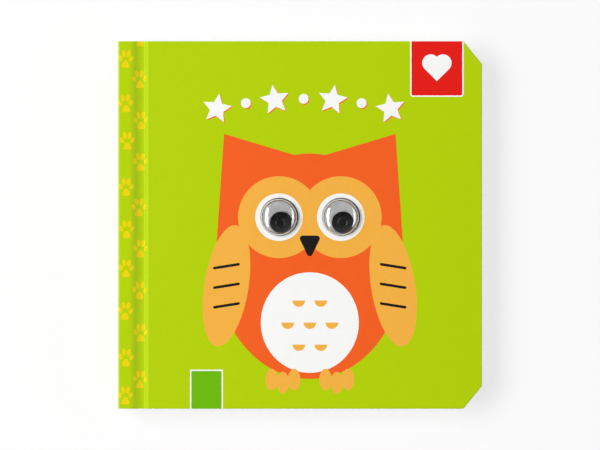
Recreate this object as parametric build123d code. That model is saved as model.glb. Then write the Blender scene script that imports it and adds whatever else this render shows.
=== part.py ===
from build123d import *
import math
import os

# Baby board book, lying on its back cover with the printed front facing up.
# X runs from the spine to the fore edge, Y from the tail to the head, Z from the back to the front.
# The origin is the middle of the back cover's outer face. Sizes are in millimetres.

# Boards and pages
book_width = 148.5
book_height = 150.0
cover_board = 2.2
leaf_board = 1.8
leaf_count = 6
leaf_slot = 0.25
leaf_slot_depth = 3.0
page_setback = 0.8
cover_clearance = 0.1

# Clipped corners at the fore edge
corner_cut_width = 7.5
corner_cut_height = 9.3
corner_round = 0.8

# Hinge groove pressed into both covers beside the spine
shoulder_width = 4.8
shoulder_slope = 5.1
shoulder_steepest = 0.48
groove_floor = 0.4
panel_slope = 2.3
groove_depth = 1.3
hinge_gap = 0.1
spine_edge_radius = 0.8

# Wiggle eyes on the front cover, placed from the middle of the book
eye_diameter = 15.0
eye_height = 4.6
eye_wall = 0.4
eye_wall_height = 1.0
eye_crown_round = 2.4
eye_spacing = 25.2
eye_middle_x = 4.0
eye_row_y = 3.2
eye_back_thickness = 0.6
eye_back_clearance = 0.05
pupil_diameter = 9.0
pupil_thickness = 1.0
pupil_bevel = 0.2
pupil_clearance = 0.25
pupil_lift = 0.05
pupil_lean = 22.0

# Printed fields on the front cover
print_film = 0.1
eye_ring_margin = 2.2
face_margin = 7.0
body_half_width = 38.0
body_half_height = 46.0
body_drop = 20.0
tuft_height = 34.0
tuft_spread = 35.0
tuft_valley = 23.5
wing_half_width = 9.0
wing_half_height = 25.0
wing_spread = 34.0
wing_drop = 28.0
wing_lean = 9.0
belly_half_width = 20.0
belly_half_height = 20.5
belly_drop = 43.0
belly_mark_radius = 2.6
belly_mark_pitch = 9.0
beak_half_width = 4.8
beak_length = 10.0
beak_drop = 7.5
foot_spread = 11.0
foot_drop = 67.5
toe_half_width = 2.5
toe_half_length = 4.4
toe_pitch = 4.6
stroke_width = 1.1
stroke_length = 11.0
stroke_pitch = 8.0
garland_count = 7
garland_pitch = 11.8
garland_radius = 158.0
garland_top_y = 51.5
garland_middle_x = 1.5
star_points = 5
star_radius = 6.2
star_inner_radius = 2.9
star_lean = 9.0
dot_radius = 2.0
tab_border = 0.55
head_tab_width = 21.8
head_tab_height = 22.7
head_tab_round = 1.2
heart_side = 7.0
tail_tab_width = 13.4
tail_tab_height = 16.0
tail_tab_from_spine = 29.4

# Places worked out from the sizes above
block_thickness = leaf_count * leaf_board
thickness = block_thickness + 2 * (cover_board + cover_clearance)
spine_face = -book_width / 2
fore_edge = book_width / 2
head = book_height / 2
tail = -book_height / 2
hinge_x = spine_face + shoulder_width + shoulder_slope
panel_x = hinge_x + groove_floor + panel_slope
eye_radius = eye_diameter / 2
eye_centres = [
    (eye_middle_x - eye_spacing / 2, eye_row_y),
    (eye_middle_x + eye_spacing / 2, eye_row_y),
]
pupil_radius = pupil_diameter / 2
pupil_offset = eye_radius - eye_wall - pupil_clearance - pupil_radius


def clipped_outline(left, right, half_height):
    """Rectangle with both corners cut off at its right side, and the cuts' ends rounded."""
    sheet = Polygon(
        (left, -half_height),
        (right - corner_cut_width, -half_height),
        (right, -half_height + corner_cut_height),
        (right, half_height - corner_cut_height),
        (right - corner_cut_width, half_height),
        (left, half_height),
        align=None,
    )
    cut_ends = sheet.vertices().sort_by(Axis.X)[2:]
    return fillet(cut_ends, corner_round)


def s_curve(start, end, steepest=0.5):
    """Two arcs, level at both ends, that meet at a share of the way, as a pressed groove's side has."""
    middle = tuple(a + (b - a) * steepest for a, b in zip(start, end))
    way = math.copysign(1, end[0] - start[0])
    return [
        TangentArc(start, middle, tangent=(way, 0)),
        TangentArc(end, middle, tangent=(-way, 0)),
    ]


def along_spine(edges):
    """Solid of the book's height from the edges of a section drawn in X and Z."""
    section = make_face(edges)
    return extrude(Plane.XZ * section, amount=book_height / 2, both=True)


def front_board():
    """Front cover: the flat panel and the thin floor of its hinge groove, trimmed to the outline."""
    under = thickness - cover_board
    floor = thickness - groove_depth
    edge_x = hinge_x + hinge_gap
    rise_x = hinge_x + groove_floor
    edges = [
        Line((edge_x, floor), (edge_x, under)),
        Line((edge_x, under), (fore_edge, under)),
        Line((fore_edge, under), (fore_edge, thickness)),
        Line((fore_edge, thickness), (panel_x, thickness)),
        *s_curve((panel_x, thickness), (rise_x, floor)),
        Line((rise_x, floor), (edge_x, floor)),
    ]
    outline = clipped_outline(spine_face, fore_edge, book_height / 2)
    return along_spine(edges) & extrude(outline, amount=thickness)


def spine_board():
    """Spine: the back of the book with a shoulder folded over the pages at the front and the back."""
    shoulder_x = spine_face + shoulder_width
    inner_x = spine_face + cover_board
    round_x = spine_face + spine_edge_radius
    corner = spine_edge_radius * math.sqrt(0.5)
    front_corner = (round_x - corner, thickness - spine_edge_radius + corner)
    back_corner = (round_x - corner, spine_edge_radius - corner)
    edges = [
        Line((hinge_x, thickness - cover_board), (hinge_x, thickness - groove_depth)),
        *s_curve((hinge_x, thickness - groove_depth), (shoulder_x, thickness), 1 - shoulder_steepest),
        Line((shoulder_x, thickness), (round_x, thickness)),
        ThreePointArc((round_x, thickness), front_corner, (spine_face, thickness - spine_edge_radius)),
        Line((spine_face, thickness - spine_edge_radius), (spine_face, spine_edge_radius)),
        ThreePointArc((spine_face, spine_edge_radius), back_corner, (round_x, 0)),
        Line((round_x, 0), (shoulder_x, 0)),
        *s_curve((shoulder_x, 0), (hinge_x, groove_depth), shoulder_steepest),
        Line((hinge_x, groove_depth), (hinge_x, cover_board)),
        Line((hinge_x, cover_board), (inner_x, cover_board)),
        Line((inner_x, cover_board), (inner_x, thickness - cover_board)),
        Line((inner_x, thickness - cover_board), (hinge_x, thickness - cover_board)),
    ]
    return along_spine(edges)


def pages():
    """Page block: stiff leaves joined along the spine, with a slot between neighbours at the open edges."""
    left = spine_face + cover_board
    right = fore_edge - page_setback
    half_height = book_height / 2 - page_setback
    base = cover_board + cover_clearance
    outline = clipped_outline(left, right, half_height)
    core = clipped_outline(left, right - leaf_slot_depth, half_height - leaf_slot_depth)
    block = extrude(Pos(0, 0, base) * outline, amount=block_thickness)
    for leaf in range(1, leaf_count):
        slot_z = base + leaf * leaf_board - leaf_slot / 2
        block -= extrude(Pos(0, 0, slot_z) * (outline - core), amount=leaf_slot)
    return block


def turned(edges, centre):
    """Round solid from half a section drawn as radius and height, standing on the front cover."""
    shape = revolve(Plane.XZ * make_face(edges), Axis.Z)
    return Pos(centre[0], centre[1], thickness) * shape


def crown_edges(radius, foot, top, corner):
    """Section of a dome above its wall: a rounded corner that runs into a shallow crown."""
    reach = radius - corner
    rise = top - foot
    crown = (reach**2 + rise**2 - corner**2) / (2 * (rise - corner))
    scale = crown / (crown - corner)
    joint = (reach * scale, top - crown + (crown - rise) * scale)
    return [
        TangentArc((radius, foot), joint, tangent=(0, 1)),
        TangentArc((0, top), joint, tangent=(1, 0)),
    ]


def eye_dome(centre):
    """Clear cap of an eye: a straight wall with a shallow crown, hollow inside."""
    inner = eye_radius - eye_wall
    edges = [
        Line((inner, 0), (eye_radius, 0)),
        Line((eye_radius, 0), (eye_radius, eye_wall_height)),
        *crown_edges(eye_radius, eye_wall_height, eye_height, eye_crown_round),
        Line((0, eye_height), (0, eye_height - eye_wall)),
        *crown_edges(inner, eye_wall_height, eye_height - eye_wall, eye_crown_round - eye_wall),
        Line((inner, eye_wall_height), (inner, 0)),
    ]
    return turned(edges, centre)


def eye_back(centre):
    """White disc inside the clear cap, on which the pupil slides."""
    radius = eye_radius - eye_wall - eye_back_clearance
    disc = Cylinder(radius, eye_back_thickness, align=(Align.CENTER, Align.CENTER, Align.MIN))
    return Pos(centre[0], centre[1], thickness) * disc


def eye_pupil(centre):
    """Loose black disc, lying at the lower side of its eye."""
    lean = math.radians(pupil_lean)
    x = centre[0] + pupil_offset * math.sin(lean)
    y = centre[1] - pupil_offset * math.cos(lean)
    z = thickness + eye_back_thickness + pupil_lift
    disc = Cylinder(pupil_radius, pupil_thickness, align=(Align.CENTER, Align.CENTER, Align.MIN))
    disc = chamfer(disc.edges().filter_by(GeomType.CIRCLE), pupil_bevel)
    return Pos(x, y, z) * disc


def both_sides(shape):
    """A flat shape and its mirror image about the line midway between the eyes."""
    return [shape, mirror(shape, about=Plane.YZ)]


def facing_up(shape):
    """The same flat shape, with the upper side as its outer side."""
    return Sketch() + [face if face.normal_at().Z > 0 else -face for face in shape.faces()]


def bird_layers():
    """Colours and shapes of the printed owl, from the lowest layer up, about the point between the eyes."""
    body = Pos(0, -body_drop) * Ellipse(body_half_width, body_half_height)
    tuft = Polygon(
        (-body_half_width, -body_drop / 2),
        (-tuft_spread, tuft_height),
        (0, tuft_valley),
        align=None,
    )
    wing = Pos(-wing_spread, -wing_drop) * Rot(0, 0, -wing_lean) * Ellipse(wing_half_width, wing_half_height)
    layers = [("orange", body)]
    layers += [("orange", shape) for shape in both_sides(tuft)]
    layers += [("amber", shape) for shape in both_sides(wing)]
    for row in range(3):
        middle = Pos(-wing_spread, -wing_drop + (1 - row) * stroke_pitch)
        stroke = middle * Rot(0, 0, wing_lean) * SlotOverall(stroke_length, stroke_width)
        layers += [("black", shape) for shape in both_sides(stroke)]
    face = Pos(-eye_spacing / 2, 0) * Circle(eye_radius + eye_ring_margin + face_margin)
    layers += [("amber", shape) for shape in both_sides(face)]
    layers.append(("white", Pos(0, -belly_drop) * Ellipse(belly_half_width, belly_half_height)))
    for row, columns in enumerate((2, 3, 2)):
        for column in range(columns):
            x = (column - (columns - 1) / 2) * belly_mark_pitch
            y = -belly_drop + (1 - row) * belly_mark_pitch
            layers.append(("amber", Pos(x, y) * half_disc(belly_mark_radius)))
    for toe in (-1, 0, 1):
        place = Pos(-foot_spread + toe * toe_pitch, -foot_drop + abs(toe) * toe_half_width / 2)
        layers += [("amber", shape) for shape in both_sides(place * Ellipse(toe_half_width, toe_half_length))]
    ring = Pos(-eye_spacing / 2, 0) * Circle(eye_radius + eye_ring_margin)
    layers += [("white", shape) for shape in both_sides(ring)]
    layers.append(("black", Pos(0, -beak_drop) * beak()))
    seat = Pos(-eye_spacing / 2, 0) * Circle(eye_radius)
    layers += [("bare", shape) for shape in both_sides(seat)]
    return [(colour, Pos(eye_middle_x, eye_row_y) * shape) for colour, shape in layers]


def half_disc(radius):
    """Lower half of a disc, as a feather mark."""
    arc = CenterArc((0, 0), radius, 180, 180)
    return make_face([arc, Line((radius, 0), (-radius, 0))])


def beak():
    """Triangle with rounded corners that points down from the origin."""
    point = Polygon((-beak_half_width, 0), (0, -beak_length), (beak_half_width, 0), align=None)
    return fillet(point.vertices(), beak_half_width / 4)


def star():
    """Star with one point up."""
    corners = []
    for corner in range(2 * star_points):
        turn = math.pi * corner / star_points
        reach = star_inner_radius if corner % 2 else star_radius
        corners.append((-reach * math.sin(turn), reach * math.cos(turn)))
    return Polygon(*corners, align=None)


def garland_layers():
    """Arch of stars and dots across the top of the cover."""
    layers = []
    for step in range(garland_count):
        along = (step - (garland_count - 1) / 2) * garland_pitch
        drop = garland_radius - math.sqrt(garland_radius**2 - along**2)
        place = Pos(garland_middle_x + along, garland_top_y - drop)
        if step % 2:
            layers.append(("white", place * Circle(dot_radius)))
        else:
            lean = star_lean if step % 4 else -star_lean
            layers.append(("white", place * Rot(0, 0, lean) * star()))
    return layers


def heart():
    """A square on its corner with a half circle on both upper sides."""
    shape = Rot(0, 0, 45) * Rectangle(heart_side, heart_side)
    lobe = heart_side * math.sqrt(2) / 4
    for side in (-1, 1):
        shape += Pos(side * lobe, lobe) * Circle(heart_side / 2)
    return shape


def tab_layers():
    """Two coloured tabs with a pale border: one hangs from the head, one stands on the tail."""
    head_tab_x = fore_edge - corner_cut_width - head_tab_width / 2
    head_tab_y = head - head_tab_height / 2
    head_plate = Rectangle(head_tab_width, head_tab_height)
    head_plate = fillet(head_plate.vertices().sort_by(Axis.Y)[:2], head_tab_round)
    head_field = Rectangle(head_tab_width - 2 * tab_border, head_tab_height - tab_border)
    head_field = fillet(head_field.vertices().sort_by(Axis.Y)[:2], head_tab_round - tab_border)
    tail_tab_x = spine_face + tail_tab_from_spine + tail_tab_width / 2
    tail_tab_y = tail + tail_tab_height / 2
    return [
        ("white", Pos(head_tab_x, head_tab_y) * head_plate),
        ("red", Pos(head_tab_x, head_tab_y + tab_border / 2) * head_field),
        ("white", Pos(head_tab_x, head_tab_y) * heart()),
        ("white", Pos(tail_tab_x, tail_tab_y) * Rectangle(tail_tab_width, tail_tab_height)),
        (
            "green",
            Pos(tail_tab_x, tail_tab_y - tab_border / 2)
            * Rectangle(tail_tab_width - 2 * tab_border, tail_tab_height - tab_border),
        ),
    ]


def painted(layers):
    """One flat field for each colour, where a later layer covers the earlier ones."""
    fields = {}
    for colour, shape in layers:
        field = facing_up(shape)
        for other in fields:
            fields[other] = fields[other] - field
        fields[colour] = fields[colour] + field if colour in fields else field
    return fields


front_cover = front_board()
nodes = {
    "spine": spine_board(),
    "page_block": pages(),
    "front_cover": front_cover,
    "back_cover": mirror(front_cover, about=Plane.XY.offset(thickness / 2)),
}
for side, centre in zip(("left", "right"), eye_centres):
    nodes[f"{side}_eye_dome"] = eye_dome(centre)
    nodes[f"{side}_eye_back"] = eye_back(centre)
    nodes[f"{side}_eye_pupil"] = eye_pupil(centre)
for colour, field in painted(bird_layers() + garland_layers() + tab_layers()).items():
    if colour != "bare":
        nodes[f"print_{colour}"] = extrude(Pos(0, 0, thickness) * field, amount=print_film)

os.makedirs("parts", exist_ok=True)
for name, shape in nodes.items():
    export_step(shape, f"parts/{name}.step")
    print(name, len(shape.solids()), round(shape.volume, 2))
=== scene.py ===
import bisect
import math
import random

import bpy
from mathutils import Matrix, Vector
from mathutils.geometry import delaunay_2d_cdt, intersect_point_line


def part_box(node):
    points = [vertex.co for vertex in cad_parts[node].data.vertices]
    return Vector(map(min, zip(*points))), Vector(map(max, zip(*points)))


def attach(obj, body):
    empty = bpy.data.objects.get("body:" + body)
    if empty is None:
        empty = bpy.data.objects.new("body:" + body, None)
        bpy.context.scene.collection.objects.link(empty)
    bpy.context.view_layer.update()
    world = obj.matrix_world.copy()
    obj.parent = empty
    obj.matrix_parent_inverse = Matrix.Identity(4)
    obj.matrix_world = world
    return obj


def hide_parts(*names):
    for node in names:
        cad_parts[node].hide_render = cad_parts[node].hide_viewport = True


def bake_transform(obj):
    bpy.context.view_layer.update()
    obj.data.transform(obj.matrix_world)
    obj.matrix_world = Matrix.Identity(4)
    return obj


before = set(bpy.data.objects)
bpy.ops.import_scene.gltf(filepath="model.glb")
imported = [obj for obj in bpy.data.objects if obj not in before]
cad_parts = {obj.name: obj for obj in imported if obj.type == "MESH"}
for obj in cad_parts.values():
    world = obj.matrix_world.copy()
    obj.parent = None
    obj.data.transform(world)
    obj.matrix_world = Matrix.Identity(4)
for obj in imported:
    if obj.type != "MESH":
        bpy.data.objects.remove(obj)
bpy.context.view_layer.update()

# A baby board book lies on its back cover: X to the fore edge, Y to the head, Z out of the front.
# All sizes are in metres, most of them written as so many millimetres.
mm = 0.001
tiny = 0.001 * mm

# Places read from the frame
spine_low, spine_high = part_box("spine")
cover_low, cover_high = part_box("front_cover")
page_low, page_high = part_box("page_block")
spine_face = spine_low.x
hinge_x = spine_high.x
fore_edge = cover_high.x
head = cover_high.y
top = cover_high.z
cover_board = cover_high.z - cover_low.z
front_under = top - cover_board
eye_boxes = {side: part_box(f"{side}_eye_dome") for side in ("left", "right")}
eye_spots = [((low + high) / 2).to_2d() for low, high in eye_boxes.values()]
eye_radius = (eye_boxes["left"][1].x - eye_boxes["left"][0].x) / 2

# How finely curves are cut
bend_pitch = 0.15 * mm
edge_steps = 4
arc_steps = 5
round_steps = 72
wide_round_steps = 96
body_steps = 128
paw_toe_steps = 20
lobe_steps = 24
ring_steps = 12
turn_steps = 96
corner_steps = 10
crown_steps = 14
join_tolerance = 1e-7

# Pressed groove, spine and clipped corners
shoulder_width = 4.8 * mm
shoulder_steepest = 0.48
groove_floor = 0.4 * mm
panel_slope = 2.3 * mm
groove_depth = 1.3 * mm
spine_edge_radius = 0.8 * mm
panel_lap = 0.8 * mm
corner_cut_width = 7.5 * mm
corner_cut_height = 9.3 * mm
corner_round = 0.8 * mm
edge_round = 0.35 * mm
shoulder_slope = hinge_x - spine_face - shoulder_width
seam_x = hinge_x + groove_floor + panel_slope + panel_lap

# Leaves
leaf_count = 6
leaf_gap = 0.22 * mm
leaf_round = 0.3 * mm
leaf_shift = 0.22 * mm
leaf_seed = 5

# Wiggle eyes
eye_wall = 0.4 * mm
eye_wall_height = 1.0 * mm
eye_crown_round = 2.4 * mm
eye_foot_round = 0.15 * mm
# Painted shade at the foot of each dome: a dark rim on the backing, wider towards one way
eye_shade_rim_width = 0.3 * mm
eye_shade_rim_uneven = 0.15 * mm
eye_shade_rim_way = math.radians(40)
# Painted shade round each eye on the cover: width and shift of a grey ring, wider on one side
eye_shade_line_width = 0.3 * mm
eye_shade_line_shift = Vector((0.18 * mm, 0.15 * mm))
pupil_bevel = 0.25 * mm
pupil_ring_radius = 1.8 * mm
pupil_ring_width = 0.8 * mm
pupil_ring_height = 0.12 * mm

# Printed owl, measured from the point between the eyes
eye_ring_margin = 2.2 * mm
face_margin = 7.0 * mm
body_half = (38.0 * mm, 46.0 * mm)
body_drop = 20.0 * mm
tuft_height = 34.0 * mm
tuft_spread = 35.0 * mm
tuft_valley = 23.5 * mm
wing_half = (9.0 * mm, 25.0 * mm)
wing_spread = 34.0 * mm
wing_drop = 28.0 * mm
wing_lean = math.radians(9)
stroke_half = (5.5 * mm, 0.55 * mm)
stroke_round = 0.98 * stroke_half[1]
stroke_pitch = 8.0 * mm
stroke_rows = (-1, 0, 1)
belly_half = (20.0 * mm, 20.5 * mm)
belly_drop = 43.0 * mm
belly_mark_radius = 2.6 * mm
belly_mark_pitch = 9.0 * mm
belly_mark_rows = (2, 3, 2)
beak_half_width = 4.8 * mm
beak_length = 10.0 * mm
beak_drop = 7.5 * mm
beak_round = 1.2 * mm
foot_spread = 11.0 * mm
foot_drop = 67.5 * mm
toe_half = (2.5 * mm, 4.4 * mm)
toe_pitch = 4.6 * mm
foot_toes = (-1, 0, 1)

# Printed arch of stars and dots
garland_count = 7
garland_pitch = 11.8 * mm
garland_radius = 158.0 * mm
garland_top = Vector((1.5 * mm, 51.5 * mm))
star_points = 5
star_radius = 6.2 * mm
star_inner_radius = 2.9 * mm
star_lean = math.radians(9)
dot_radius = 2.0 * mm
drop_shade = Vector((0.35 * mm, -0.4 * mm))

# Printed tabs
tab_border = 0.55 * mm
head_tab = (21.8 * mm, 22.7 * mm)
head_tab_round = 1.2 * mm
heart_side = 7.0 * mm
tail_tab = (13.4 * mm, 16.0 * mm)
tail_tab_from_spine = 29.4 * mm

# Printed paws along the spine, on the sheet as it lies flat
# Each toe has a place, a half length and a lean.
paw_columns = (2.9 * mm, 10.85 * mm, 16.35 * mm)
paw_row_pitch = 17.3 * mm
paw_first_row = 67.9 * mm + paw_row_pitch
paw_rows = 10
paw_tilt = math.radians(5)
paw_stray = (0.5 * mm, 1.2 * mm)
paw_seed = 3
paw_toes = [
    (1.0 * mm, 2.15 * mm, 1.45 * mm, math.radians(-11)),
    (2.2 * mm, 0.15 * mm, 1.2 * mm, math.radians(-25)),
]
paw_toe_half_width = 0.8 * mm
paw_pad_corners = [(-2.35 * mm, -3.65 * mm), (2.35 * mm, -3.65 * mm), (0.0, 0.15 * mm)]
paw_pad_round = 0.85 * mm

# Colours of ink, board and plastic, as sRGB
ink_colours = {
    "lime": (180, 210, 0),
    "orange": (245, 97, 33),
    "amber": (246, 179, 69),
    "white": (250, 250, 248),
    "black": (26, 25, 25),
    "red": (230, 27, 21),
    "green": (107, 186, 2),
    "yellow": (237, 211, 10),
    # The grey is painted shade round the eyes, not ink of the book
    "shade_grey": (96, 97, 95),
}
board_edge_colour = (240, 238, 232)
board_face_colour = (244, 243, 239)
eye_clear_colour = (251, 252, 252)
eye_white_colour = (246, 246, 246)
eye_black_colour = (10, 10, 11)
# Dark grey of painted shade on the dome's foot and the backing's rim
eye_painted_shade_colour = (70, 72, 70)
floor_colour = (248, 248, 248)

# Finishes, from noise with its scale counted per metre
# Drift of colour has a scale, a detail and a share. Roughness has a scale, a lowest and a highest value.
# Relief has a scale, a detail, a depth and a strength.
ink_finish = {
    "drift": (420, 5, 0.025),
    "rough": (900, 0.4, 0.5),
    "relief": (2600, 4, 0.02 * mm, 0.25),
    "specular": 0.16,
}
board_face_finish = {
    "drift": (300, 5, 0.03),
    "rough": (700, 0.54, 0.66),
    "relief": (900, 5, 0.05 * mm, 0.35),
    "specular": 0.2,
}
board_edge_finish = {**board_face_finish, "rough": (700, 0.74, 0.86), "fibre": (1, 1, 6)}
eye_white_finish = {
    "drift": (500, 3, 0.04),
    "rough": (800, 0.25, 0.35),
    "relief": (1500, 3, 0.02 * mm, 0.3),
}
eye_black_finish = {**eye_white_finish, "rough": (800, 0.3, 0.4)}
# Finish of the painted shade at the feet of the eyes
eye_painted_shade_finish = {**eye_white_finish, "rough": (800, 0.3, 0.5)}
eye_clear_rough = (500, 0.01, 0.05)
eye_clear_relief = (220, 1, 0.04 * mm, 0.3)
eye_clear_ior = 1.54
floor_drift = (3, 3, 0.01)
floor_rough = 0.9

# Stage, lamps and camera
# A lamp has a place, a size and a power. The sky has pairs of height and brightness.
floor_size = 6.0
floor_clear = 0.7
camera_height = 1.4
picture_width = 600
pixel_size = 0.408 * mm
key_lamp = ((-1.24, 0.24, 1.81), (1.6, 1.2), 46.6)
gloss_lamps = {
    "left_strip": ((-0.75, 0.0, 0.79), (1.3, 0.18), 9.0),
    "right_strip": ((0.84, 0.0, 0.71), (1.2, 0.14), 4.4),
}
sky = [(0.0, 1.0), (0.12, 0.6), (0.5, 0.48), (0.9, 0.05)]
seen_rays = ("Is Camera Ray", "Is Glossy Ray", "Is Transmission Ray")


# Flat shapes
def ellipse(middle, half, lean=0.0, steps=round_steps):
    """Closed outline of an ellipse, turned by lean."""
    points = []
    for step in range(steps):
        turn = 2 * math.pi * step / steps
        x = half[0] * math.cos(turn)
        y = half[1] * math.sin(turn)
        points.append(
            Vector((
                middle[0] + x * math.cos(lean) - y * math.sin(lean),
                middle[1] + x * math.sin(lean) + y * math.cos(lean),
            ))
        )
    return points


def circle(middle, radius):
    """Closed outline of a circle."""
    return ellipse(middle, (radius, radius))


def corner_arc(before, corner, after, radius, inset=0.0):
    """Points of one rounded corner of an outline that runs anticlockwise, moved inwards by inset."""
    into = (corner - before).normalized()
    out = (after - corner).normalized()
    into_normal = Vector((-into.y, into.x))
    out_normal = Vector((-out.y, out.x))
    centre = corner + (into_normal + out_normal) * radius / (1 + into_normal.dot(out_normal))
    start = math.atan2(-into_normal.y, -into_normal.x)
    sweep = math.atan2(into.cross(out), into.dot(out))
    points = []
    for step in range(arc_steps + 1):
        turn = start + sweep * step / arc_steps
        points.append(centre + (radius - inset) * Vector((math.cos(turn), math.sin(turn))))
    return points


def rounded(corners, radius, inset=0.0):
    """Closed outline with every corner rounded."""
    points = []
    for i, corner in enumerate(corners):
        points += corner_arc(corners[i - 1], corner, corners[(i + 1) % len(corners)], radius, inset)
    return points


def rectangle(middle, size):
    """Four corners of a rectangle, anticlockwise from the lower left."""
    x, y = size[0] / 2, size[1] / 2
    ways = ((-1, -1), (1, -1), (1, 1), (-1, 1))
    return [Vector((middle[0] + a * x, middle[1] + b * y)) for a, b in ways]


def tilted(points, tilt):
    """The same outline, turned anticlockwise about the origin."""
    return [
        Vector((
            p.x * math.cos(tilt) - p.y * math.sin(tilt),
            p.x * math.sin(tilt) + p.y * math.cos(tilt),
        ))
        for p in points
    ]


def star(middle, lean):
    """Star with one point up, turned by lean."""
    points = []
    for corner in range(2 * star_points):
        reach = star_inner_radius if corner % 2 else star_radius
        turn = math.pi / 2 + lean + math.pi * corner / star_points
        points.append(middle + reach * Vector((math.cos(turn), math.sin(turn))))
    return points


def heart(middle):
    """A square on its corner with half circles on its two upper sides, as one outline."""
    lobe = heart_side * math.sqrt(2) / 4
    points = [middle + Vector((0, -2 * lobe))]
    for side, start in ((1, -math.pi / 4), (-1, math.pi / 4)):
        for step in range(lobe_steps + 1):
            turn = start + math.pi * step / lobe_steps
            arm = Vector((math.cos(turn), math.sin(turn))) * heart_side / 2
            points.append(middle + Vector((side * lobe, lobe)) + arm)
    return points


def mirrored(points, x):
    """The same outline on the other side of a line along Y, still anticlockwise."""
    return [Vector((2 * x - p.x, p.y)) for p in reversed(points)]


def clipped(points, axis, limit, keep_above):
    """The part of a convex outline on one side of a line along X or Y."""
    kept = []
    sign = 1 if keep_above else -1
    for i, here in enumerate(points):
        last = points[i - 1]
        inside = sign * (here[axis] - limit) >= 0
        was_inside = sign * (last[axis] - limit) >= 0
        if inside != was_inside:
            share = (limit - last[axis]) / (here[axis] - last[axis])
            kept.append(last.lerp(here, share))
        if inside:
            kept.append(here)
    return kept


# Surfaces
class Shell:
    """Points, normals and faces of one piece, gathered before its mesh is made."""

    def __init__(self):
        self.points = []
        self.normals = []
        self.faces = []
        self.face_inks = []

    def point(self, place, normal):
        """Adds a point with its normal, and gives its number."""
        self.points.append(Vector(place))
        self.normals.append(Vector(normal).normalized())
        return len(self.points) - 1

    def face(self, corners, ink):
        """One face, turned so that it looks the way its points' normals do."""
        a, b, c = (self.points[i] for i in corners[:3])
        facing = sum((self.normals[i] for i in corners), Vector())
        if (b - a).cross(c - a).dot(facing) < 0:
            corners = corners[::-1]
        self.faces.append(tuple(corners))
        self.face_inks.append(ink)

    def strip(self, row, next_row, ink):
        """Quads between two rows of points."""
        for i in range(len(row) - 1):
            self.face([row[i], row[i + 1], next_row[i + 1], next_row[i]], ink)

    def make(self, name, materials):
        """The piece's object, with a slot for each material that its faces use."""
        mesh = bpy.data.meshes.new(name)
        mesh.from_pydata(self.points, [], self.faces)
        used = [ink for ink in materials if ink in self.face_inks]
        for ink in used:
            mesh.materials.append(materials[ink])
        mesh.polygons.foreach_set("material_index", [used.index(ink) for ink in self.face_inks])
        mesh.polygons.foreach_set("use_smooth", [True] * len(self.faces))
        mesh.normals_split_custom_set_from_vertices(self.normals)
        piece = bpy.data.objects.new(name, mesh)
        bpy.context.scene.collection.objects.link(piece)
        return piece


def inlay(shell, outline, layers, lines, place):
    """Fills a convex outline with fields of ink, where a later layer covers an earlier one.
    Lines are cut through all of it. Returns the rim's edges, as pairs of (point, flat place)."""
    flat = list(outline)
    rings = [list(range(len(flat)))]
    for ink, ring in layers:
        rings.append(list(range(len(flat), len(flat) + len(ring))))
        flat += ring
    edges = []
    for line in lines:
        edges += [(len(flat) + i, len(flat) + i + 1) for i in range(len(line) - 1)]
        flat += line
    spots, _, faces, _, _, sources = delaunay_2d_cdt(flat, edges, rings, 0, join_tolerance)
    index = [shell.point(*place(spot)) for spot in spots]
    sides = {}
    for face, owners in zip(faces, sources):
        layer = max(owners, default=0)
        shell.face([index[i] for i in face], layers[layer - 1][0] if layer else "lime")
        for a, b in zip(face, face[1:] + face[:1]):
            side = (min(a, b), max(a, b))
            sides[side] = sides.get(side, 0) + 1
    return [[(index[i], spots[i]) for i in side] for side, uses in sides.items() if uses == 1]


def walls(shell, rim, on_seam, foot):
    """Cut edge of the board under each side of the rim that isn't a seam."""
    feet = {}
    for pair in rim:
        if all(on_seam(spot) for _, spot in pair):
            continue
        for i, spot in pair:
            if i not in feet:
                feet[i] = shell.point(foot(spot), shell.normals[i])
        (a, _), (b, _) = pair
        shell.face([a, b, feet[b], feet[a]], "edge")


def rounding(distance):
    """Turn of the surface over a rounded edge, from none on the flat to a quarter at the edge."""
    return math.asin(min(1.0, max(0.0, 1 - distance / edge_round)))


def rounding_insets():
    """Distances from the edge at which the rounded edge is cut into facets."""
    return [edge_round * (1 - math.sin(math.pi / 2 * step / edge_steps)) for step in range(edge_steps)]


# Cover sheet
def s_bend(run, drop, way, share=0.5):
    """Two moves of a walk along the section: a bend one way for a share of the run, and back."""
    turn = 2 * math.atan2(drop, run)
    length = turn * run / math.sin(turn)
    return [bend(length * share, way * turn), bend(length * (1 - share), -way * turn)]


def bend(length, turn):
    """One move of a walk, cut into short steps."""
    return length, turn, math.ceil(length / bend_pitch)


def walk(start, moves):
    """Stations along the sheet's outer section: length along the sheet, X, Z and heading."""
    stations = [start]
    for length, turn, steps in moves:
        veer = turn / steps
        chord = length / steps * (math.sin(veer / 2) / (veer / 2) if veer else 1)
        for _ in range(steps):
            s, x, z, heading = stations[-1]
            way = heading + veer / 2
            stations.append(
                (s + length / steps, x + chord * math.cos(way), z + chord * math.sin(way), heading + veer)
            )
    return stations


def sheet_point(stations, spot):
    """Place and normal on the folded sheet of a spot on the flat sheet, rounded at head and tail."""
    lengths = [station[0] for station in stations]
    i = min(max(bisect.bisect_right(lengths, spot.x) - 1, 0), len(stations) - 2)
    share = (spot.x - lengths[i]) / (lengths[i + 1] - lengths[i])
    x, z, heading = (a + (b - a) * share for a, b in zip(stations[i][1:], stations[i + 1][1:]))
    out = Vector((math.sin(heading), 0, -math.cos(heading)))
    turn = rounding(head - abs(spot.y))
    along = Vector((0, math.copysign(1, spot.y), 0))
    place = Vector((x, spot.y, z)) - out * edge_round * (1 - math.cos(turn))
    return place, out * math.cos(turn) + along * math.sin(turn)


def inner_point(place):
    """Place on the sheet's inner side that lies behind a place on its outer side."""
    x = max(place.x, spine_face + cover_board)
    z = min(max(place.z, cover_board), front_under)
    return Vector((x, place.y, z))


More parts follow.
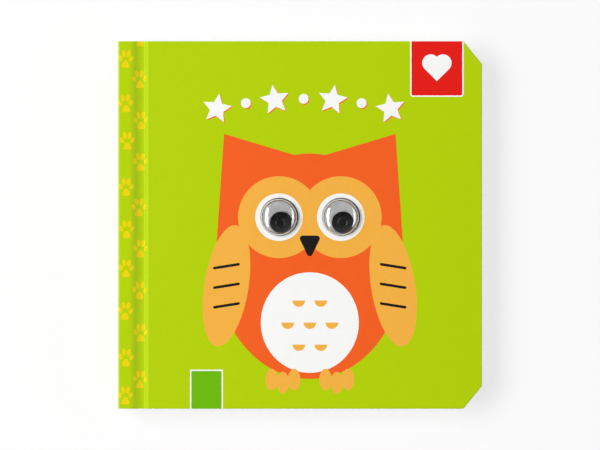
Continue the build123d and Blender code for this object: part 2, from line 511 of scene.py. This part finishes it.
def paw_layers():
    """Yellow paws in staggered columns along the flat sheet, each a little out of place and tilted."""
    chance = random.Random(paw_seed)
    layers = []
    columns = [side * column for side in (-1, 1) for column in paw_columns]
    for column, along in enumerate(sorted(columns)):
        for row in range(paw_rows):
            down = (row - column % 2 / 2 + 0.5) * paw_row_pitch
            middle = Vector((
                sheet_middle + along + chance.uniform(-paw_stray[0], paw_stray[0]),
                paw_first_row - down + chance.uniform(-paw_stray[1], paw_stray[1]),
            ))
            tilt = chance.uniform(-paw_tilt, paw_tilt)
            for shape in paw_shapes():
                layers.append(("yellow", [p + middle for p in tilted(shape, tilt)]))
    return layers


def paw_shapes():
    """Pad and toes of one paw about its middle."""
    shapes = [rounded([Vector(corner) for corner in paw_pad_corners], paw_pad_round)]
    for x, y, half_length, lean in paw_toes:
        toe = ellipse((x, y), (paw_toe_half_width, half_length), lean, paw_toe_steps)
        shapes += [toe, mirrored(toe, 0)]
    return shapes


def fold_piece(name, stations, materials):
    """A stretch of the cover sheet that follows the stations, with its cut ends and its inner side."""
    shell = Shell()
    first, last = stations[0][0], stations[-1][0]
    outline = [Vector((first, -head)), Vector((last, -head)), Vector((last, head)), Vector((first, head))]
    lines = [[Vector((station[0], -head)), Vector((station[0], head))] for station in stations[1:-1]]
    for inset in rounding_insets():
        for y in (inset - head, head - inset):
            lines.append([Vector((first, y)), Vector((last, y))])
    limits = ((0, first, True), (0, last, False), (1, -head, True), (1, head, False))
    layers = []
    for ink, shape in paw_layers():
        for axis, limit, keep_above in limits:
            shape = clipped(shape, axis, limit, keep_above)
        if len(shape) > 2:
            layers.append((ink, shape))
    rim = inlay(shell, outline, layers, lines, lambda spot: sheet_point(stations, spot))
    walls(
        shell,
        rim,
        lambda spot: abs(spot.y) < head - edge_round / 2,
        lambda spot: inner_point(sheet_point(stations, spot)[0]),
    )
    inner_side(shell, stations)
    return shell.make(name, materials)


def inner_side(shell, stations):
    """Plain inner side of a stretch of the sheet, in level runs that each share their points."""
    places = [Vector((x, 0, z)) for _, x, z, _ in stations]
    row, last_inward = None, None
    for here, after in zip(places, places[1:]):
        near, far = inner_point(here), inner_point(after)
        if (far - near).length < tiny:
            continue
        inward = Vector((near.z - far.z, 0, far.x - near.x)).normalized()
        inward *= math.copysign(1, inward.dot(near - here))
        if inward != last_inward:
            row = inner_row(shell, near, inward)
        next_row = inner_row(shell, far, inward)
        shell.strip(row, next_row, "page")
        row, last_inward = next_row, inward


def inner_row(shell, place, inward):
    """Two points on the sheet's inner side, at the tail and at the head."""
    return [shell.point((place.x, y, place.z), inward) for y in (-head, head)]


def panel_chain(inset):
    """Outline of a cover panel from the seam at the tail, round the fore edge, to the seam at the head."""
    tail_seam, *corners, head_seam = panel_corners()
    points = [tail_seam + Vector((0, inset))]
    for i, corner in enumerate(corners):
        before = corners[i - 1] if i else tail_seam
        after = corners[i + 1] if i + 1 < len(corners) else head_seam
        points += corner_arc(before, corner, after, corner_round, inset)
    return points + [head_seam - Vector((0, inset))]


def panel_corners():
    """Sharp corners of a cover panel, anticlockwise from the seam at the tail."""
    return [
        Vector((seam_x, -head)),
        Vector((fore_edge - corner_cut_width, -head)),
        Vector((fore_edge, -head + corner_cut_height)),
        Vector((fore_edge, head - corner_cut_height)),
        Vector((fore_edge - corner_cut_width, head)),
        Vector((seam_x, head)),
    ]


def panel_edge(spot):
    """Distance of a spot from the panel's edge, and the way out to that edge."""
    core = panel_chain(corner_round)
    nearest = None
    for a, b in zip(core, core[1:]):
        if (b - a).length < tiny:
            continue
        if (b - a).cross(spot - a) < 0:
            _, share = intersect_point_line(spot, a, b)
            way = spot - a.lerp(b, min(1.0, max(0.0, share)))
            if nearest is None or way.length < nearest.length:
                nearest = way
    if nearest is None:
        return corner_round, Vector((1, 0))
    return corner_round - nearest.length, nearest.normalized()


def panel_piece(name, outer_z, inner_z, layers, materials):
    """A cover panel with a printed outer face, rounded edges, cut sides and a plain inner face."""
    shell = Shell()
    up = math.copysign(1, outer_z - inner_z)

    def place(spot):
        distance, way = panel_edge(spot)
        turn = rounding(distance)
        z = outer_z - up * edge_round * (1 - math.cos(turn))
        normal = Vector((way.x * math.sin(turn), way.y * math.sin(turn), up * math.cos(turn)))
        return Vector((spot.x, spot.y, z)), normal

    lines = [panel_chain(inset) for inset in rounding_insets()]
    rim = inlay(shell, panel_chain(0.0), layers, lines, place)
    walls(
        shell,
        rim,
        lambda spot: spot.x < seam_x + tiny,
        lambda spot: Vector((spot.x, spot.y, inner_z)),
    )
    inside = [shell.point((p.x, p.y, inner_z), (0, 0, -up)) for p in panel_chain(0.0)]
    shell.face(inside, "page")
    return shell.make(name, materials)


# Front print
def owl_layers():
    """Printed owl round the two eyes, from the lowest layer up, with a grey ring of painted shade round
    each eye.
    """
    middle = (eye_spots[0] + eye_spots[1]) / 2

    def at(x, y):
        return middle + Vector((x, y))

    def both(ink, points):
        return [(ink, points), (ink, mirrored(points, middle.x))]

    layers = [("orange", ellipse(at(0, -body_drop), body_half, steps=body_steps))]
    layers += both(
        "orange",
        [at(-tuft_spread, tuft_height), at(-body_half[0], -body_drop / 2), at(0, tuft_valley)],
    )
    layers += both("amber", ellipse(at(-wing_spread, -wing_drop), wing_half, -wing_lean, wide_round_steps))
    stroke = rounded(rectangle((0, 0), (2 * stroke_half[0], 2 * stroke_half[1])), stroke_round)
    for row in stroke_rows:
        place = at(-wing_spread, -wing_drop - row * stroke_pitch)
        layers += both("black", [p + place for p in tilted(stroke, wing_lean)])
    for eye in eye_spots:
        layers.append(("amber", circle(eye, eye_radius + eye_ring_margin + face_margin)))
    layers.append(("white", ellipse(at(0, -belly_drop), belly_half, steps=wide_round_steps)))
    for row, columns in enumerate(belly_mark_rows):
        for column in range(columns):
            x = (column - (columns - 1) / 2) * belly_mark_pitch
            y = -belly_drop + (1 - row) * belly_mark_pitch
            layers.append(("amber", clipped(circle(at(x, y), belly_mark_radius), 1, middle.y + y, False)))
    for toe in foot_toes:
        x = -foot_spread + toe * toe_pitch
        y = -foot_drop + abs(toe) * toe_half[0] / 2
        layers += both("amber", ellipse(at(x, y), toe_half))
    for eye in eye_spots:
        layers.append(("white", circle(eye, eye_radius + eye_ring_margin)))
        # Grey ring of painted shade round the eye, shifted so that it is wider on one side
        layers.append(("shade_grey", circle(eye + eye_shade_line_shift, eye_radius + eye_shade_line_width)))
        layers.append(("white", circle(eye, eye_radius)))
    beak = [
        at(-beak_half_width, -beak_drop),
        at(0, -beak_drop - beak_length),
        at(beak_half_width, -beak_drop),
    ]
    layers.append(("black", rounded(beak, beak_round)))
    return layers


def garland_layers():
    """Arch of white stars and dots by turns, with a thin orange shade to the lower right."""
    layers = []
    for step in range(garland_count):
        along = (step - (garland_count - 1) / 2) * garland_pitch
        drop = garland_radius - math.sqrt(garland_radius**2 - along**2)
        middle = garland_top + Vector((along, -drop))
        lean = star_lean if step % 4 else -star_lean
        shape = circle(middle, dot_radius) if step % 2 else star(middle, lean)
        layers.append(("orange", [p + drop_shade for p in shape]))
        layers.append(("white", shape))
    return layers


def tab_layers():
    """A red tab with a heart at the head and a bare green tab at the tail, both with a pale border."""
    head_middle = Vector((fore_edge - corner_cut_width - head_tab[0] / 2, head - head_tab[1] / 2))
    head_field = (head_tab[0] - 2 * tab_border, head_tab[1] - tab_border)
    head_field_middle = head_middle + Vector((0, tab_border / 2))
    tail_middle = Vector((spine_face + tail_tab_from_spine + tail_tab[0] / 2, tail_tab[1] / 2 - head))
    tail_field = (tail_tab[0] - 2 * tab_border, tail_tab[1] - tab_border)
    return [
        ("white", hanging_tab(head_middle, head_tab, head_tab_round)),
        ("red", hanging_tab(head_field_middle, head_field, head_tab_round - tab_border)),
        ("white", heart(head_middle)),
        ("white", rectangle(tail_middle, tail_tab)),
        ("green", rectangle(tail_middle - Vector((0, tab_border / 2)), tail_field)),
    ]


def hanging_tab(middle, size, radius):
    """Rectangle with its two lower corners rounded."""
    low_left, low_right, high_right, high_left = rectangle(middle, size)
    points = corner_arc(high_left, low_left, low_right, radius)
    points += corner_arc(low_left, low_right, high_right, radius)
    return points + [high_right, high_left]


# Pages
def pages_piece(materials):
    """Stiff leaves glued along the spine, each with rounded edges and a little out of line."""
    shell = Shell()
    chance = random.Random(leaf_seed)
    pitch = (page_high.z - page_low.z) / leaf_count
    for leaf in range(leaf_count):
        right = page_high.x - chance.uniform(0, leaf_shift)
        low_y = page_low.y + chance.uniform(0, leaf_shift)
        high_y = page_high.y - chance.uniform(0, leaf_shift)
        low_z = page_low.z + leaf * pitch + leaf_gap / 2
        high_z = low_z + pitch - leaf_gap
        corners = [
            Vector((page_low.x, low_y)),
            Vector((right - corner_cut_width, low_y)),
            Vector((right, low_y + corner_cut_height)),
            Vector((right, high_y - corner_cut_height)),
            Vector((right - corner_cut_width, high_y)),
            Vector((page_low.x, high_y)),
        ]
        leaf_slab(shell, corners, low_z, high_z)
    return shell.make("pages", materials)


def leaf_slab(shell, corners, low_z, high_z):
    """One closed leaf: two plain faces and a white edge that is rounded above and below."""
    outline = rounded(corners, corner_round)
    core = rounded(corners, corner_round, corner_round)
    rows = []
    for end, z, steps in ((1, high_z, range(edge_steps + 1)), (-1, low_z, range(edge_steps, -1, -1))):
        for step in steps:
            turn = math.pi / 2 * step / edge_steps
            inset = leaf_round * (1 - math.sin(turn))
            row = []
            for p, outer, middle in zip(rounded(corners, corner_round, inset), outline, core):
                way = (outer - middle).normalized()
                normal = (way.x * math.sin(turn), way.y * math.sin(turn), end * math.cos(turn))
                row.append(shell.point((p.x, p.y, z - end * leaf_round * (1 - math.cos(turn))), normal))
            rows.append(row)
    shell.face(rows[0], "page")
    shell.face(rows[-1], "page")
    for row, next_row in zip(rows, rows[1:]):
        shell.strip(row + row[:1], next_row + next_row[:1], "edge")


# Eyes
def turned_piece(name, centre, base_z, profiles, materials):
    """Round piece from stretches of half a section, each smooth in itself, given as (radius, height).
    A radius may also be a function of the turn."""
    shell = Shell()
    for skin, profile in profiles:
        rows = []
        for i, (radius, height) in enumerate(profile):
            slope = profile_normal(profile, i)
            row = []
            for step in range(turn_steps):
                turn = 2 * math.pi * step / turn_steps
                side = Vector((math.cos(turn), math.sin(turn)))
                reach = radius(turn) if callable(radius) else radius
                place = (centre.x + reach * side.x, centre.y + reach * side.y, base_z + height)
                row.append(shell.point(place, (slope.x * side.x, slope.x * side.y, slope.y)))
            rows.append(row)
        for row, next_row in zip(rows, rows[1:]):
            shell.strip(row + row[:1], next_row + next_row[:1], skin)
    return shell.make(name, materials)


def profile_normal(profile, i):
    """The way out of the plastic at one point of half a section, on the right of the way it runs."""
    level = [(point[0](0.0) if callable(point[0]) else point[0], point[1]) for point in profile]
    before, after = level[max(i - 1, 0)], level[min(i + 1, len(level) - 1)]
    return Vector((after[1] - before[1], before[0] - after[0])).normalized()


def crown(radius, foot, height, corner):
    """Section of a dome above its wall: a rounded corner, then a shallow arc to the middle."""
    reach = radius - corner
    rise = height - foot
    arc = (reach**2 + rise**2 - corner**2) / (2 * (rise - corner))
    joint = math.acos(reach / (arc - corner))
    points = []
    for step in range(corner_steps):
        turn = joint * step / corner_steps
        points.append((reach + corner * math.cos(turn), foot + corner * math.sin(turn)))
    for step in range(crown_steps):
        turn = joint + (math.pi / 2 - joint) * step / crown_steps
        points.append((arc * math.cos(turn), height - arc + arc * math.sin(turn)))
    return points + [(tiny, height)]


def dome_profiles(radius, height):
    """Outer skin, inner skin and foot of a clear dome, all looking away from the plastic."""
    inner = radius - eye_wall
    outer_skin = [(radius, eye_foot_round), *crown(radius, eye_wall_height, height, eye_crown_round)]
    inner_crown = crown(inner, eye_wall_height, height - eye_wall, eye_crown_round - eye_wall)
    inner_skin = [(inner, 0.0), *inner_crown]
    # The foot and its rounding are painted dark grey, as shade
    foot = [(inner, 0.0), (radius - eye_foot_round, 0.0)]
    foot_round = [(radius - eye_foot_round, 0.0), (radius, eye_foot_round)]
    return [("dome", outer_skin), ("dome", inner_skin[::-1]), ("foot", foot), ("foot", foot_round)]


def back_profiles(radius, height):
    """Flat white disc with a bevelled edge and an uneven dark rim of painted shade under the dome's foot,
    wider towards one side.
    """

    # Inner edge of the painted shade rim, wider towards one way
    def rim(turn):
        return radius - eye_shade_rim_width - eye_shade_rim_uneven * math.cos(turn - eye_shade_rim_way)

    rim_face = [(radius - pupil_bevel, height), (rim, height)]
    face = [(rim, height), (tiny, height)]
    return [*(("foot", edge) for edge in disc_edge(radius, height)), ("foot", rim_face), ("back", face)]


def disc_edge(radius, height):
    """Underside and bevelled edge of a disc."""
    return [
        [(tiny, 0.0), (radius - pupil_bevel, 0.0)],
        [(radius - pupil_bevel, 0.0), (radius, pupil_bevel)],
        [(radius, pupil_bevel), (radius, height - pupil_bevel)],
        [(radius, height - pupil_bevel), (radius - pupil_bevel, height)],
    ]


def pupil_profiles(radius, height):
    """Black disc with a bevelled edge and a low moulded ring on its face."""
    face = height - pupil_ring_height
    ring = []
    for step in range(ring_steps + 1):
        share = step / ring_steps
        bump = pupil_ring_height * (1 - math.cos(2 * math.pi * share)) / 2
        ring.append((pupil_ring_radius + pupil_ring_width * (0.5 - share), face + bump))
    top_face = [(radius - pupil_bevel, face), *ring, (tiny, face)]
    return [("pupil", profile) for profile in (*disc_edge(radius, face), top_face)]


def eye_pieces(side, plastics):
    """Clear dome, white backing and black pupil of one eye, in place of its three plain solids."""
    parts = [
        ("dome", "front", "eye_clear", dome_profiles),
        ("back", "front", "eye_white", back_profiles),
        ("pupil", f"{side}_pupil", "eye_black", pupil_profiles),
    ]
    for part, body, slot, profiles in parts:
        node = f"{side}_eye_{part}"
        low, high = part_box(node)
        section = profiles((high.x - low.x) / 2, high.z - low.z)
        piece = turned_piece(f"{side}_{part}", (low + high) / 2, low.z, section, plastics)
        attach(piece, body)
        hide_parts(node)


# Materials
def linear(colour):
    """Linear colour, with alpha, from sRGB numbers up to 255."""
    shares = [c / 255 for c in colour]
    return [c / 12.92 if c < 0.04045 else ((c + 0.055) / 1.055) ** 2.4 for c in shares] + [1.0]


def blank_material(name):
    """New material, with its node tree and its surface shader."""
    material = bpy.data.materials.new(name)
    material.use_nodes = True
    return material, material.node_tree, material.node_tree.nodes["Principled BSDF"]


def noise(tree, scale, detail=3, stretch=(1, 1, 1)):
    """Noise fixed to the piece, with scale counted per metre."""
    where = tree.nodes.new("ShaderNodeTexCoord")
    spread = tree.nodes.new("ShaderNodeMapping")
    spread.inputs["Scale"].default_value = stretch
    texture = tree.nodes.new("ShaderNodeTexNoise")
    texture.inputs["Scale"].default_value = scale
    texture.inputs["Detail"].default_value = detail
    tree.links.new(where.outputs["Object"], spread.inputs["Vector"])
    tree.links.new(spread.outputs["Vector"], texture.inputs["Vector"])
    return texture.outputs["Fac"]


def tinted(tree, shader, colour, drift):
    """Base colour that drifts a little, darker and lighter."""
    scale, detail, share = drift
    mix = tree.nodes.new("ShaderNodeMix")
    mix.data_type = "RGBA"
    mix.inputs["A"].default_value = [c * (1 - share) for c in colour[:3]] + [1.0]
    mix.inputs["B"].default_value = [min(1.0, c * (1 + share)) for c in colour[:3]] + [1.0]
    tree.links.new(noise(tree, scale, detail), mix.inputs["Factor"])
    tree.links.new(mix.outputs["Result"], shader.inputs["Base Color"])


def roughened(tree, shader, rough):
    """Roughness that varies between two values."""
    scale, lowest, highest = rough
    span = tree.nodes.new("ShaderNodeMapRange")
    span.inputs["To Min"].default_value = lowest
    span.inputs["To Max"].default_value = highest
    tree.links.new(noise(tree, scale), span.inputs["Value"])
    tree.links.new(span.outputs["Result"], shader.inputs["Roughness"])


def bumped(tree, shader, relief, fibre=(1, 1, 1)):
    """Fine relief, stretched along the fibres."""
    scale, detail, depth, strength = relief
    bump = tree.nodes.new("ShaderNodeBump")
    bump.inputs["Distance"].default_value = depth
    bump.inputs["Strength"].default_value = strength
    tree.links.new(noise(tree, scale, detail, fibre), bump.inputs["Height"])
    tree.links.new(bump.outputs["Normal"], shader.inputs["Normal"])


def finished(name, colour, drift, rough, relief, specular=0.5, fibre=(1, 1, 1)):
    """Material of one colour, with the drift, roughness, relief and gloss of its finish."""
    material, tree, shader = blank_material(name)
    tinted(tree, shader, linear(colour), drift)
    roughened(tree, shader, rough)
    bumped(tree, shader, relief, fibre)
    shader.inputs["Specular IOR Level"].default_value = specular
    return material


def sheet_materials():
    """Print under a thin satin film, and the white board's face and cut edge."""
    materials = {ink: finished(f"ink_{ink}", colour, **ink_finish) for ink, colour in ink_colours.items()}
    materials["edge"] = finished("board_edge", board_edge_colour, **board_edge_finish)
    materials["page"] = finished("board_face", board_face_colour, **board_face_finish)
    return materials


def eye_materials():
    """Clear dome, white backing, black pupil, and the dark grey of painted shade on the dome's foot and on
    the backing's rim and edge.
    """
    return {
        "dome": clear_material(),
        "back": finished("eye_white", eye_white_colour, **eye_white_finish),
        "pupil": finished("eye_black", eye_black_colour, **eye_black_finish),
        # Dark grey painted shade for the dome's foot and the backing's rim and edge
        "foot": finished("eye_painted_shade", eye_painted_shade_colour, **eye_painted_shade_finish),
    }


def clear_material():
    """Polished clear plastic with a faint moulding wave."""
    material, tree, shader = blank_material("eye_clear")
    shader.inputs["Base Color"].default_value = linear(eye_clear_colour)
    shader.inputs["Transmission Weight"].default_value = 1.0
    shader.inputs["IOR"].default_value = eye_clear_ior
    roughened(tree, shader, eye_clear_rough)
    bumped(tree, shader, eye_clear_relief)
    return material


def any_ray(tree, kinds):
    """1 for rays of the given kinds, and 0 for others."""
    path = tree.nodes.new("ShaderNodeLightPath")
    factor = path.outputs[kinds[0]]
    for kind in kinds[1:]:
        factor = combined(tree, "MAXIMUM", factor, path.outputs[kind])
    return factor


def combined(tree, operation, first, second):
    """Result of an operation on two factors."""
    node = tree.nodes.new("ShaderNodeMath")
    node.operation = operation
    tree.links.new(first, node.inputs[0])
    tree.links.new(second, node.inputs[1])
    return node.outputs["Value"]


def floor_material():
    """Pale floor that takes the shadow but is partly clear, so that the white below it shows through,
    and a cover that opens downwards too."""
    material, tree, shader = blank_material("pale_floor")
    tinted(tree, shader, linear(floor_colour), floor_drift)
    shader.inputs["Roughness"].default_value = floor_rough
    shader.inputs["Specular IOR Level"].default_value = 0.0
    clear = tree.nodes.new("ShaderNodeBsdfTransparent")
    share = tree.nodes.new("ShaderNodeMapRange")
    share.inputs["To Max"].default_value = floor_clear
    blend = tree.nodes.new("ShaderNodeMixShader")
    tree.links.new(any_ray(tree, (*seen_rays, "Is Shadow Ray")), share.inputs["Value"])
    tree.links.new(share.outputs["Result"], blend.inputs["Fac"])
    tree.links.new(shader.outputs["BSDF"], blend.inputs[1])
    tree.links.new(clear.outputs["BSDF"], blend.inputs[2])
    tree.links.new(blend.outputs["Shader"], tree.nodes["Material Output"].inputs["Surface"])
    return material


# Book
def panel_pieces(materials):
    """Front panel with all of its print, and the bare back panel."""
    print_nodes = [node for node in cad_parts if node.startswith("print_")]
    front_print = owl_layers() + garland_layers() + tab_layers()
    front_panel = panel_piece("front_panel", top, front_under, front_print, materials)
    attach(front_panel, "front")
    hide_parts("front_cover", *print_nodes)
    back_panel = panel_piece("back_panel", 0.0, cover_board, [], materials)
    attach(back_panel, "back")
    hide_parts("back_cover")


def fold_pieces(materials):
    """Spine, and the grooves between it and the covers."""
    spine_wrap = fold_piece("spine_wrap", spine_stations, materials)
    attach(spine_wrap, "block")
    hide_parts("spine")
    for side, stations in (("front", front_stations), ("back", back_stations)):
        groove = fold_piece(f"{side}_groove", stations, materials)
        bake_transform(groove)


def block_piece(materials):
    """Leaves in place of the plain block."""
    pages = pages_piece(materials)
    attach(pages, "block")
    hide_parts("page_block")


half_shoulder = (shoulder_width - spine_edge_radius) / 2
spine_corner = bend(spine_edge_radius * math.pi / 2, math.pi / 2)
groove_moves = [
    (panel_lap, 0.0, 1),
    *s_bend(panel_slope, groove_depth, 1),
    bend(groove_floor, 0.0),
    *s_bend(shoulder_slope, groove_depth, -1, 1 - shoulder_steepest),
    (half_shoulder, 0.0, 1),
]
spine_moves = [
    (half_shoulder, 0.0, 1),
    spine_corner,
    (top - 2 * spine_edge_radius, 0.0, 1),
    spine_corner,
    (half_shoulder, 0.0, 1),
]
front_stations = walk((0.0, seam_x, top, math.pi), groove_moves)
spine_stations = walk(front_stations[-1], spine_moves)
back_stations = walk(spine_stations[-1], groove_moves[::-1])
sheet_middle = back_stations[-1][0] / 2

sheet_stock = sheet_materials()
panel_pieces(sheet_stock)
fold_pieces(sheet_stock)
block_piece(sheet_stock)
eye_plastics = eye_materials()
for side in eye_boxes:
    eye_pieces(side, eye_plastics)


# Stage
def make_floor():
    """Large plain floor under the book."""
    shell = Shell()
    corners = rectangle((0, 0), (floor_size, floor_size))
    shell.face([shell.point((p.x, p.y, 0), (0, 0, 1)) for p in corners], "floor")
    floor = shell.make("floor", {"floor": floor_material()})


def make_lamp(name, place, size, power):
    """Soft lamp that looks at the book."""
    light = bpy.data.lights.new(name, "AREA")
    light.shape = "RECTANGLE"
    light.size, light.size_y = size
    light.energy = power
    lamp = bpy.data.objects.new(name, light)
    lamp.location = place
    lamp.rotation_mode = "QUATERNION"
    lamp.rotation_quaternion = (-Vector(place)).to_track_quat("-Z", "Y")
    lamp.visible_camera = False
    bpy.context.scene.collection.objects.link(lamp)
    return lamp


def make_lamps():
    """One lamp for open surfaces, and strips that show in gloss and through the domes."""
    key = make_lamp("key", *key_lamp)
    key.visible_glossy = False
    key.visible_transmission = False
    for name, strip in gloss_lamps.items():
        make_lamp(name, *strip).visible_diffuse = False


def make_camera():
    """Long lens straight above the front cover, with the head of the book at the top."""
    view_width = picture_width * pixel_size
    lens = bpy.data.cameras.new("camera")
    lens.lens = lens.sensor_width * (camera_height - top) / view_width
    camera = bpy.data.objects.new("camera", lens)
    camera.location = (0, 0, camera_height)
    bpy.context.scene.collection.objects.link(camera)
    bpy.context.scene.camera = camera


def make_world():
    """Sky, white at the horizon and dim overhead, over a white ground that gives no light."""
    world = bpy.data.worlds.new("studio")
    world.use_nodes = True
    tree = world.node_tree
    background = tree.nodes["Background"]
    where = tree.nodes.new("ShaderNodeTexCoord")
    axes = tree.nodes.new("ShaderNodeSeparateXYZ")
    ramp = tree.nodes.new("ShaderNodeValToRGB")
    while len(ramp.color_ramp.elements) < len(sky):
        ramp.color_ramp.elements.new(1.0)
    for element, (height, strength) in zip(ramp.color_ramp.elements, sky):
        element.position = height
        element.color = (strength, strength, strength, 1)
    tree.links.new(where.outputs["Generated"], axes.inputs["Vector"])
    tree.links.new(axes.outputs["Z"], ramp.inputs["Fac"])
    tree.links.new(ramp.outputs["Color"], background.inputs["Color"])
    above = tree.nodes.new("ShaderNodeMath")
    above.operation = "GREATER_THAN"
    above.inputs[1].default_value = 0.0
    tree.links.new(axes.outputs["Z"], above.inputs[0])
    shown = combined(tree, "MAXIMUM", above.outputs["Value"], any_ray(tree, seen_rays))
    tree.links.new(shown, background.inputs["Strength"])
    bpy.context.scene.world = world


make_floor()
make_lamps()
make_camera()
make_world()
bpy.context.scene.view_settings.view_transform = "Standard"
